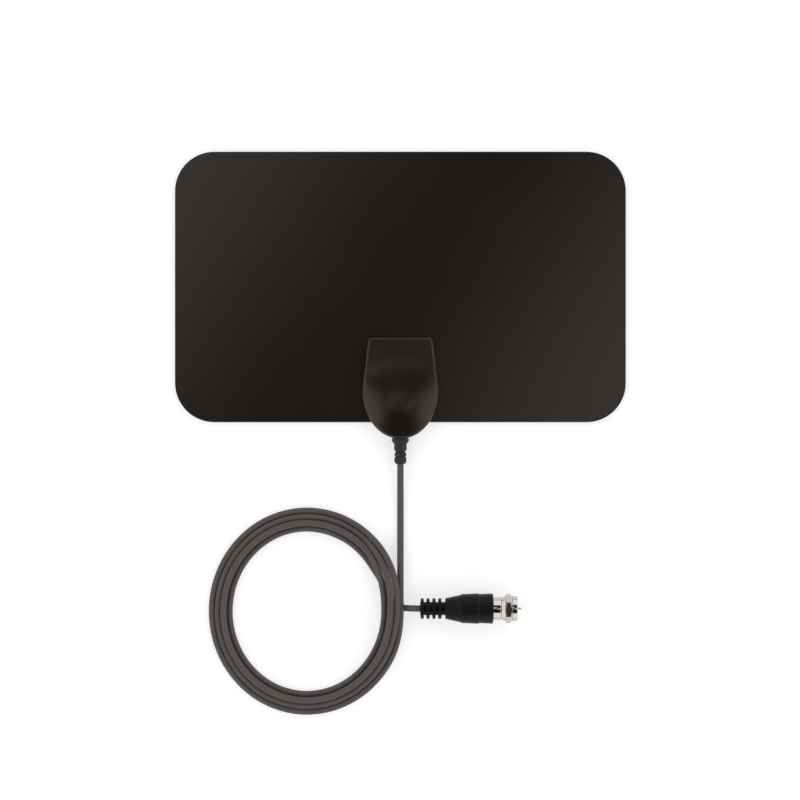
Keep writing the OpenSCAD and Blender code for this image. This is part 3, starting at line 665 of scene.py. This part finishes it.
def turned(profile, centre, direction, sides=96, closed=True):
    """Points and faces of a profile of (distance along, radius) turned about an axis along X or -Y."""
    points = []
    for along, radius in profile:
        for i in range(sides):
            u = radius * math.cos(2 * math.pi * i / sides)
            v = radius * math.sin(2 * math.pi * i / sides)
            if direction == "x":
                points.append((centre[0] + along, centre[1] + u, centre[2] + v))
            else:
                points.append((centre[0] + u, centre[1] - along, centre[2] + v))
    last = len(profile) if closed else len(profile) - 1
    faces = [f for k in range(last) for f in band(k * sides, (k + 1) % len(profile) * sides, sides)]
    return points, faces


def rounded(corners, steps=4):
    """A profile of (along, radius, rounding) corners with each corner rounded by an arc of that radius."""
    made = []
    for i, (along, radius, r) in enumerate(corners):
        if r == 0:
            made.append((along, radius))
            continue
        before, after = corners[i - 1], corners[(i + 1) % len(corners)]
        a = (before[0] - along, before[1] - radius)
        b = (after[0] - along, after[1] - radius)
        la, lb = math.hypot(*a), math.hypot(*b)
        a, b = (a[0] / la, a[1] / la), (b[0] / lb, b[1] / lb)
        half = math.acos(max(-1, min(1, a[0] * b[0] + a[1] * b[1]))) / 2
        reach = min(r / math.tan(half), la / 2, lb / 2)
        for k in range(steps + 1):
            t = k / steps
            # A quadratic arc from one side to the other
            x = along + reach * ((1 - t) ** 2 * a[0] + t ** 2 * b[0])
            y = radius + reach * ((1 - t) ** 2 * a[1] + t ** 2 * b[1])
            made.append((x, y))
    return made


def soft_pvc():
    """Moulded soft PVC: dark grey, satin, with a slightly uneven skin."""
    finish, tree, place, shader = new_finish("soft_pvc")
    cloud = add(tree, "ShaderNodeTexNoise", {"Vector": place, "Scale": 1 / (3 * MM), "Detail": 3})
    grain = add(tree, "ShaderNodeTexNoise", {"Vector": place, "Scale": 1 / (0.4 * MM), "Detail": 2})
    colour = add(tree, "ShaderNodeMix", {
        "Factor": cloud.outputs["Fac"], COLOUR_A: linear("#2b2725"), COLOUR_B: linear("#312d2b"),
    }, data_type="RGBA")
    bump = add(tree, "ShaderNodeBump", {
        "Height": grain.outputs["Fac"], "Strength": 0.35, "Distance": 0.04 * MM,
    })
    set_shader(tree, shader, Base_Color=colour.outputs[MIXED], Roughness=0.4,
               Normal=bump.outputs["Normal"], IOR=1.5, Specular_IOR_Level=0.2,
               Specular_Tint=WARM_SHEEN)
    return finish


bore_r = CABLE_Z + GAP / 4
inside = WALL + 2 * GAP
relief_profile = rounded([
    (-inside - 1.5, bore_r, 0), (-inside - 1.5, FLANGE_R, 0.2), (-inside, FLANGE_R, 0.2),
    (-inside, NECK_D / 2, 0), (GAP / 2, NECK_D / 2, 0), (GAP / 2, SHOULDER_R, 0.25),
    (1.45, SHOULDER_R, 0.4), (2.6, WAIST_R, 0.5),
    (RELIEF_LEN - 6, WAIST_R, 0.3), (RELIEF_LEN - 5.75, WAIST_R - 0.6, 0.2),
    (RELIEF_LEN - 5.1, WAIST_R - 0.6, 0.2), (RELIEF_LEN - 4.85, WAIST_R - 0.15, 0.3),
    (RELIEF_LEN - 3.65, WAIST_R - 0.15, 0.2), (RELIEF_LEN - 3.5, WAIST_R - 0.5, 0.12),
    (RELIEF_LEN - 3.2, WAIST_R - 0.5, 0.12), (RELIEF_LEN - 3.05, WAIST_R - 0.1, 0.2),
    (RELIEF_LEN - 0.7, WAIST_R - 0.15, 0.4), (RELIEF_LEN, WAIST_R - 0.95, 0.1), (RELIEF_LEN, bore_r, 0),
])
relief_mesh = mesh_of("relief_boot", *turned(relief_profile, (0, COVER_TOP_Y - COVER_LEN, EXIT_Z), "y"))
SOFT_PVC = soft_pvc()
made_piece("relief_boot", relief_mesh, "antenna", SOFT_PVC, "relief", "strain_relief")


# Plug grip
# One black PVC moulding round the cable's end and the connector's barrel: four thin tail ribs, a
# widening body, and a finger band that stands slightly proud.
PLUG_X = 8.7
GRIP_LEN = 32.2
GRIP_R = 6.65
BAND_R = 6.7
BAND_RISE = 0.3
BAND_START = 18.3
BAND_END = 25.7
CONE_START = 11.1
CONE_R = 4.55
RIB_R = 4.55
RIB_CORE_R = 2.9
RIB_T = 1.4
RIB_PITCH = 2.6
RIB_COUNT = 4
RIB_AT = 0.2
BARREL_AT = 21.7
BARREL_R = 4
PLUG = (PLUG_X, PLUG_Y, PLUG_Z)


def evaluated_tree(name, tree, values):
    """Runs a geometry tree with the given inputs on an empty piece and returns its mesh."""
    holder = bpy.data.objects.new(name, bpy.data.meshes.new(name))
    scene.collection.objects.link(holder)
    change = holder.modifiers.new("tree", "NODES")
    change.node_group = tree
    sockets = {item.name: item.identifier for item in tree.interface.items_tree if item.in_out == "INPUT"}
    for key, value in values.items():
        change[sockets[key]] = value
    bpy.context.view_layer.update()
    data = bpy.data.meshes.new_from_object(holder.evaluated_get(bpy.context.evaluated_depsgraph_get()))
    holder.modifiers.remove(change)
    bpy.data.objects.remove(holder)
    return data


def new_tree(name, inputs):
    """A geometry tree with named inputs, its input node and its output node."""
    tree = bpy.data.node_groups.new(name, "GeometryNodeTree")
    tree.interface.new_socket("Geometry", in_out="OUTPUT", socket_type="NodeSocketGeometry")
    for label, kind in inputs:
        tree.interface.new_socket(label, in_out="INPUT", socket_type="NodeSocket" + kind)
    return tree, add(tree, "NodeGroupInput"), add(tree, "NodeGroupOutput")


def rib_tree():
    """Round ribs with soft edges, set a pitch apart along X."""
    tree, given, result = new_tree("tail_ribs", [
        ("Count", "Int"), ("Pitch", "Float"), ("Start", "Vector"), ("Outer radius", "Float"),
        ("Inner radius", "Float"), ("Thickness", "Float"), ("Rounding", "Float"), ("Finish", "Material"),
    ])
    value = given.outputs
    depth = add(tree, "ShaderNodeMath", {
        0: value["Outer radius"], 1: value["Inner radius"],
    }, operation="SUBTRACT")
    total = add(tree, "ShaderNodeMath", {
        0: value["Outer radius"], 1: value["Inner radius"],
    }, operation="ADD")
    middle = add(tree, "ShaderNodeMath", {0: total.outputs[0], 1: 0.5}, operation="MULTIPLY")
    round_path = add(tree, "GeometryNodeCurvePrimitiveCircle", {
        "Resolution": 96, "Radius": middle.outputs[0],
    })
    section = add(tree, "GeometryNodeCurvePrimitiveQuadrilateral", {
        "Width": depth.outputs[0], "Height": value["Thickness"],
    })
    soft = add(tree, "GeometryNodeFilletCurve", {
        "Curve": section.outputs["Curve"], "Count": 5, "Radius": value["Rounding"],
    }, mode="POLY")
    rib = add(tree, "GeometryNodeCurveToMesh", {
        "Curve": round_path.outputs["Curve"], "Profile Curve": soft.outputs["Curve"],
    })
    step = add(tree, "ShaderNodeCombineXYZ", {"X": value["Pitch"]})
    row = add(tree, "GeometryNodeMeshLine", {
        "Count": value["Count"], "Start Location": value["Start"], "Offset": step.outputs["Vector"],
    })
    ribs = add(tree, "GeometryNodeInstanceOnPoints", {
        "Points": row.outputs["Mesh"], "Instance": rib.outputs["Mesh"], "Rotation": (0, math.pi / 2, 0),
    })
    real = add(tree, "GeometryNodeRealizeInstances", {"Geometry": ribs.outputs["Instances"]})
    done = add(tree, "GeometryNodeSetMaterial", {
        "Geometry": real.outputs["Geometry"], "Material": value["Finish"],
    })
    tree.links.new(done.outputs["Geometry"], result.inputs["Geometry"])
    return tree


def black_pvc():
    """Moulded black PVC: a warm black with a low sheen and a matt, slightly uneven skin."""
    finish, tree, place, shader = new_finish("black_pvc")
    cloud = add(tree, "ShaderNodeTexNoise", {"Vector": place, "Scale": 1 / (5 * MM), "Detail": 3})
    grain = add(tree, "ShaderNodeTexNoise", {"Vector": place, "Scale": 1 / (0.4 * MM), "Detail": 3})
    colour = add(tree, "ShaderNodeMix", {
        "Factor": cloud.outputs["Fac"], COLOUR_A: linear("#0e0d0b"), COLOUR_B: linear("#12100e"),
    }, data_type="RGBA")
    bump = add(tree, "ShaderNodeBump", {
        "Height": grain.outputs["Fac"], "Strength": 0.35, "Distance": 0.04 * MM,
    })
    set_shader(tree, shader, Base_Color=colour.outputs[MIXED], Roughness=0.4,
               Normal=bump.outputs["Normal"], IOR=1.5, Specular_IOR_Level=0.13,
               Specular_Tint=WARM_SHEEN)
    return finish


BLACK_PVC = black_pvc()
tail_bore = CABLE_Z + GAP / 4
barrel_bore = BARREL_R + GAP / 4
grip_profile = rounded([
    (0, tail_bore, 0), (0, RIB_CORE_R, 0.3), (CONE_START, RIB_CORE_R, 0.3), (CONE_START, CONE_R, 0.35),
    (BAND_START - 0.6, BAND_R - 0.7, 0.4), (BAND_START, BAND_R - 0.35, 0.3), (BAND_END, BAND_R, 0.2),
    (BAND_END + 0.35, BAND_R - BAND_RISE, 0.2), (GRIP_LEN, GRIP_R, 0.6),
    (GRIP_LEN, barrel_bore, 0), (BARREL_AT, barrel_bore, 0), (BARREL_AT, tail_bore, 0),
])
grip_mesh = mesh_of("grip_body", *turned(grip_profile, PLUG, "x", 128))
grip = made_piece("grip_body", grip_mesh, "antenna", BLACK_PVC, "grip", "plug_grip")
ribs_mesh = evaluated_tree("grip_ribs", rib_tree(), {
    "Count": RIB_COUNT, "Pitch": RIB_PITCH * MM,
    "Start": ((PLUG_X + RIB_AT + RIB_T / 2) * MM, PLUG_Y * MM, PLUG_Z * MM),
    "Outer radius": RIB_R * MM, "Inner radius": (RIB_CORE_R - 0.3) * MM,
    "Thickness": RIB_T * MM, "Rounding": 0.35 * MM, "Finish": BLACK_PVC,
})
tidy_mesh(ribs_mesh)
ribs = made_piece("grip_ribs", ribs_mesh, "antenna", BLACK_PVC, "grip")


# Connector body
# Turned brass with bright nickel plating: a barrel inside the grip, the rear sleeve, and the neck
# and flange on which the nut turns.
SLEEVE_R = 4.95
SLEEVE_END = 35.7
NUT_AT = 35.9
NUT_END = 42.9
LIP_T = 2.2
LIP_R = 3.7
NUT_BORE_R = 4.35
FLANGE_AT = 38.3
FLANGE_END = 39.5
NUT_FLANGE_R = 4.2
INSULATOR_R = 2.4
POST_NECK_R = LIP_R - 1.5 * GAP


def nickel_plate():
    """Bright nickel plating on turned brass: warm white metal, with faint lines from the lathe."""
    finish, tree, place, shader = new_finish("nickel_plate")
    lathe = add(tree, "ShaderNodeMapping", {"Vector": place, "Scale": (1, 0.02, 0.02)})
    lines = add(tree, "ShaderNodeTexNoise", {
        "Vector": lathe.outputs["Vector"], "Scale": 1 / (0.12 * MM), "Detail": 3,
    })
    cloud = add(tree, "ShaderNodeTexNoise", {"Vector": place, "Scale": 1 / (2.5 * MM), "Detail": 2})
    rough = add(tree, "ShaderNodeMapRange", {"Value": cloud.outputs["Fac"], "To Min": 0.06, "To Max": 0.12})
    bump = add(tree, "ShaderNodeBump", {
        "Height": lines.outputs["Fac"], "Strength": 0.15, "Distance": 0.01 * MM,
    })
    set_shader(tree, shader, Base_Color=linear("#bfbbb6"), Metallic=1, Roughness=rough.outputs["Result"],
               Normal=bump.outputs["Normal"])
    return finish


NICKEL = nickel_plate()
insulator_bore = INSULATOR_R + GAP / 4
post_profile = rounded([
    (BARREL_AT, insulator_bore, 0), (BARREL_AT, BARREL_R, 0.2), (GRIP_LEN, BARREL_R, 0),
    (GRIP_LEN, SLEEVE_R, 0.15), (SLEEVE_END, SLEEVE_R, 0.3), (SLEEVE_END, POST_NECK_R, 0),
    (FLANGE_AT, POST_NECK_R, 0), (FLANGE_AT, NUT_FLANGE_R, 0.1), (FLANGE_END, NUT_FLANGE_R, 0.2),
    (FLANGE_END, insulator_bore, 0),
])
post = made_piece("connector_body", mesh_of("connector_body", *turned(post_profile, PLUG, "x", 128)),
                  "antenna", NICKEL, "nickel", "connector_post")


# Coupling nut
# Turned from hexagon bar and nickel plated, with a fine 32 turns to the inch thread inside. A lip
# behind the thread holds it on the connector's flange, and it spins freely there.
NUT_R = 5.5
NUT_CORNER_R = NUT_R / math.cos(math.pi / 6)
CONE_END = NUT_AT + 1.8
HEX_END = NUT_AT + 4.4
THREAD_PITCH = 25.4 / 32
THREAD_DEPTH = 0.42
HEX_STATIONS = 20
NUT_SIDES = 180
CHAMFER_SLOPE = 1.6


def hexagon(angle):
    """Distance from the nut's axis to its flats at an angle, with the corners at the sides."""
    turn = angle % (math.pi / 3) - math.pi / 6
    return NUT_R / math.cos(turn)


def nut_body():
    """The outside follows a turned outline, cut down to the hexagon between the cone and the collar."""
    sides = NUT_SIDES
    outside = rounded([
        (NUT_AT, LIP_R, 0), (NUT_AT, NUT_R - 0.5, 0.25), (CONE_END, NUT_R + 0.05, 0.1),
    ])[1:]
    chamfer = [(CONE_END, NUT_R + 0.1)]
    span = HEX_END - CONE_END
    for i in range(HEX_STATIONS + 1):
        t = i / HEX_STATIONS
        edge = min(t, 1 - t) * span
        chamfer.append((CONE_END + t * span, min(NUT_R + 0.1 + edge * CHAMFER_SLOPE, NUT_CORNER_R)))
    collar = rounded([
        (HEX_END, NUT_R - 0.25, 0), (HEX_END + 0.25, NUT_R - 0.25, 0.1), (HEX_END + 0.45, NUT_R, 0.1),
        (NUT_END, NUT_R, 0.35), (NUT_END, NUT_BORE_R + 0.45, 0.1), (NUT_END - 0.45, NUT_BORE_R, 0),
        (NUT_AT + LIP_T, NUT_BORE_R, 0), (NUT_AT + LIP_T, LIP_R, 0), (NUT_AT, LIP_R, 0),
    ])
    stations = [(a, r, False) for a, r in outside] + [(a, r, True) for a, r in chamfer]
    stations += [(a, r, False) for a, r in collar]
    points = []
    for along, radius, cut in stations:
        for i in range(sides):
            angle = 2 * math.pi * i / sides
            r = min(radius, hexagon(angle)) if cut else radius
            points.append((PLUG_X + along, PLUG_Y + r * math.cos(angle), PLUG_Z + r * math.sin(angle)))
    count = len(stations)
    return points, [f for k in range(count) for f in band(k * sides, (k + 1) % count * sides, sides)]


def thread_tree():
    """A ridge of triangular section that winds round the axis along X."""
    tree, given, result = new_tree("nut_thread", [
        ("Start", "Vector"), ("Turns", "Float"), ("Length", "Float"), ("Radius", "Float"),
        ("Ridge", "Float"), ("Finish", "Material"),
    ])
    value = given.outputs
    path = add(tree, "GeometryNodeCurveSpiral", {
        "Resolution": 64, "Rotations": value["Turns"], "Start Radius": value["Radius"],
        "End Radius": value["Radius"], "Height": value["Length"],
    })
    section = add(tree, "GeometryNodeCurvePrimitiveCircle", {"Resolution": 6, "Radius": value["Ridge"]})
    ridge = add(tree, "GeometryNodeCurveToMesh", {
        "Curve": path.outputs["Curve"], "Profile Curve": section.outputs["Curve"], "Fill Caps": True,
    })
    placed = add(tree, "GeometryNodeTransform", {
        "Geometry": ridge.outputs["Mesh"], "Translation": value["Start"], "Rotation": (0, math.pi / 2, 0),
    })
    real = add(tree, "GeometryNodeRealizeInstances", {"Geometry": placed.outputs["Geometry"]})
    done = add(tree, "GeometryNodeSetMaterial", {
        "Geometry": real.outputs["Geometry"], "Material": value["Finish"],
    })
    tree.links.new(done.outputs["Geometry"], result.inputs["Geometry"])
    return tree


nut_mesh = mesh_of("nut_body", *nut_body(), sharp=28)
nut = made_piece("nut_body", nut_mesh, "nut", NICKEL, "nickel", "coupling_nut")
thread_from = NUT_AT + LIP_T + 1.6
thread_to = NUT_END - 0.5
thread_mesh = evaluated_tree("nut_thread", thread_tree(), {
    "Start": ((PLUG_X + thread_from) * MM, PLUG_Y * MM, PLUG_Z * MM),
    "Turns": (thread_to - thread_from) / THREAD_PITCH, "Length": (thread_to - thread_from) * MM,
    "Radius": (NUT_BORE_R + 0.02) * MM, "Ridge": THREAD_DEPTH * MM, "Finish": NICKEL,
})
tidy_mesh(thread_mesh, 50)
thread = made_piece("nut_thread", thread_mesh, "nut", NICKEL, "nickel")


# Insulator and centre pin
# A white polyethylene bush pressed into the connector body, and the plated pin that it holds.
dress("plug_insulator", POLYETHYLENE)
dress("centre_pin", plain_metal("pin_plating", "#cfc3a6", 0.14, 0.26))


# Studio
# A white floor that runs up into a low round wall, under a white tent. The tent is dark overhead but
# for two soft strips beside the camera, which draw the diagonal sheen on the sheet.
FLOOR_R = 2.6
WALL_TOP = 0.5
NEAR = 0.3
FAR = 0.9
# What the camera and reflections see added to the floor near the object and far from it
GLOW_NEAR = 0.57
GLOW_FAR = 1
# Direction across the dark band overhead, and how far the band lies off the zenith
ACROSS = (0.833, -0.553, 0)
ALONG = (0.553, 0.833, 0)
BAND_OFFSET = 0.031
SKY_LEVEL = 1.36
# Each pair is where a part of the tent has no light and where its light is full, measured on a
# direction of length 1. The first two are the strips' sides, towards the band between them and away.
STRIP_INNER = (0.025, 0.105)
STRIP_OUTER = (0.24, 0.16)
STRIP_END = (0.32, 0.18)
# The strips end short of where the plug would reflect them, on a line that lies at a slant
SLANT = 0.5
PLUG_END = (-0.1, -0.05)
ROUND_WALL = (0.82, 0.7)
SIDE_WALL = (0.24, 0.4)
FLOOR_SIDES = 96
FLOOR_RINGS = [(0.35, 0), (1, 0), (1.8, 0), (2.2, 0.03), (2.45, 0.15), (FLOOR_R, 0.4), (FLOOR_R, WALL_TOP)]


def studio_white():
    """Matt white paper. To the camera and in reflections it stays white, but for the shadow near by."""
    finish, tree, place, shader = new_finish("studio_white")
    tree.nodes.remove(shader)
    output = next(n for n in tree.nodes if n.bl_idname == "ShaderNodeOutputMaterial")
    path = add(tree, "ShaderNodeLightPath").outputs
    seen = add(tree, "ShaderNodeMath", {
        0: path["Is Camera Ray"], 1: path["Is Glossy Ray"],
    }, operation="MAXIMUM")
    seen = add(tree, "ShaderNodeMath", {
        0: seen.outputs[0], 1: path["Is Transmission Ray"],
    }, operation="MAXIMUM")
    reach = add(tree, "ShaderNodeVectorMath", {0: place}, operation="LENGTH")
    glow = add(tree, "ShaderNodeMapRange", {
        "Value": reach.outputs["Value"], "From Min": NEAR, "From Max": FAR,
        "To Min": GLOW_NEAR, "To Max": GLOW_FAR,
    })
    strength = add(tree, "ShaderNodeMath", {
        0: seen.outputs[0], 1: glow.outputs["Result"],
    }, operation="MULTIPLY")
    lit = add(tree, "ShaderNodeBsdfDiffuse", {"Color": linear("#bcbcbc")})
    shine = add(tree, "ShaderNodeEmission", {"Color": (1, 1, 1, 1), "Strength": strength.outputs[0]})
    both = add(tree, "ShaderNodeAddShader", {0: lit.outputs[0], 1: shine.outputs[0]})
    tree.links.new(both.outputs[0], output.inputs["Surface"])
    return finish


floor_points = []
for radius, height in FLOOR_RINGS:
    for i in range(FLOOR_SIDES):
        turn = 2 * math.pi / FLOOR_SIDES * i
        floor_points.append((radius / MM * math.cos(turn), radius / MM * math.sin(turn), height / MM))
floor_faces = [f for k in range(len(FLOOR_RINGS) - 1)
               for f in band(k * FLOOR_SIDES, (k + 1) * FLOOR_SIDES, FLOOR_SIDES)]
floor_faces.append(tuple(range(FLOOR_SIDES)))
floor = bpy.data.objects.new("floor", mesh_of("floor", floor_points, floor_faces))
scene.collection.objects.link(floor)
floor.data.materials.append(studio_white())


def tent():
    """World light by direction: white from the sides, dark overhead, with the two strips there."""
    world = bpy.data.worlds.new("tent")
    world.use_nodes = True
    tree = world.node_tree
    tree.nodes.clear()
    way = add(tree, "ShaderNodeTexCoord").outputs["Generated"]
    part = add(tree, "ShaderNodeSeparateXYZ", {0: way}).outputs
    across = add(tree, "ShaderNodeVectorMath", {0: way, 1: ACROSS}, operation="DOT_PRODUCT").outputs["Value"]
    along = add(tree, "ShaderNodeVectorMath", {0: way, 1: ALONG}, operation="DOT_PRODUCT").outputs["Value"]
    beside = add(tree, "ShaderNodeMath", {0: across, 1: BAND_OFFSET}, operation="ADD").outputs[0]
    slant = add(tree, "ShaderNodeMath", {0: beside, 1: SLANT}, operation="MULTIPLY").outputs[0]
    slanted = add(tree, "ShaderNodeMath", {0: along, 1: slant}, operation="SUBTRACT").outputs[0]
    off, ahead, aside = [
        add(tree, "ShaderNodeMath", {0: value}, operation="ABSOLUTE").outputs[0]
        for value in (beside, along, part["X"])
    ]
    edges = [
        (off, STRIP_INNER), (off, STRIP_OUTER), (ahead, STRIP_END), (slanted, PLUG_END),
        (part["Z"], ROUND_WALL), (aside, SIDE_WALL),
    ]
    strip, *cuts, round_wall, side_wall = [
        add(tree, "ShaderNodeMapRange", {
            "Value": value, "From Min": dark, "From Max": full,
        }).outputs["Result"]
        for value, (dark, full) in edges
    ]
    for cut in cuts:
        strip = add(tree, "ShaderNodeMath", {0: strip, 1: cut}, operation="MULTIPLY").outputs[0]
    walls = add(tree, "ShaderNodeMath", {0: round_wall, 1: side_wall}, operation="MAXIMUM").outputs[0]
    walls = add(tree, "ShaderNodeMath", {0: walls, 1: SKY_LEVEL}, operation="MULTIPLY").outputs[0]
    level = add(tree, "ShaderNodeMath", {0: strip, 1: walls}, operation="MAXIMUM").outputs[0]
    seen = add(tree, "ShaderNodeLightPath").outputs["Is Camera Ray"]
    level = add(tree, "ShaderNodeMath", {0: level, 1: seen}, operation="MAXIMUM").outputs[0]
    light = add(tree, "ShaderNodeBackground", {"Color": (1, 1, 1, 1), "Strength": level})
    add(tree, "ShaderNodeOutputWorld", {"Surface": light.outputs[0]})
    return world


scene.world = tent()
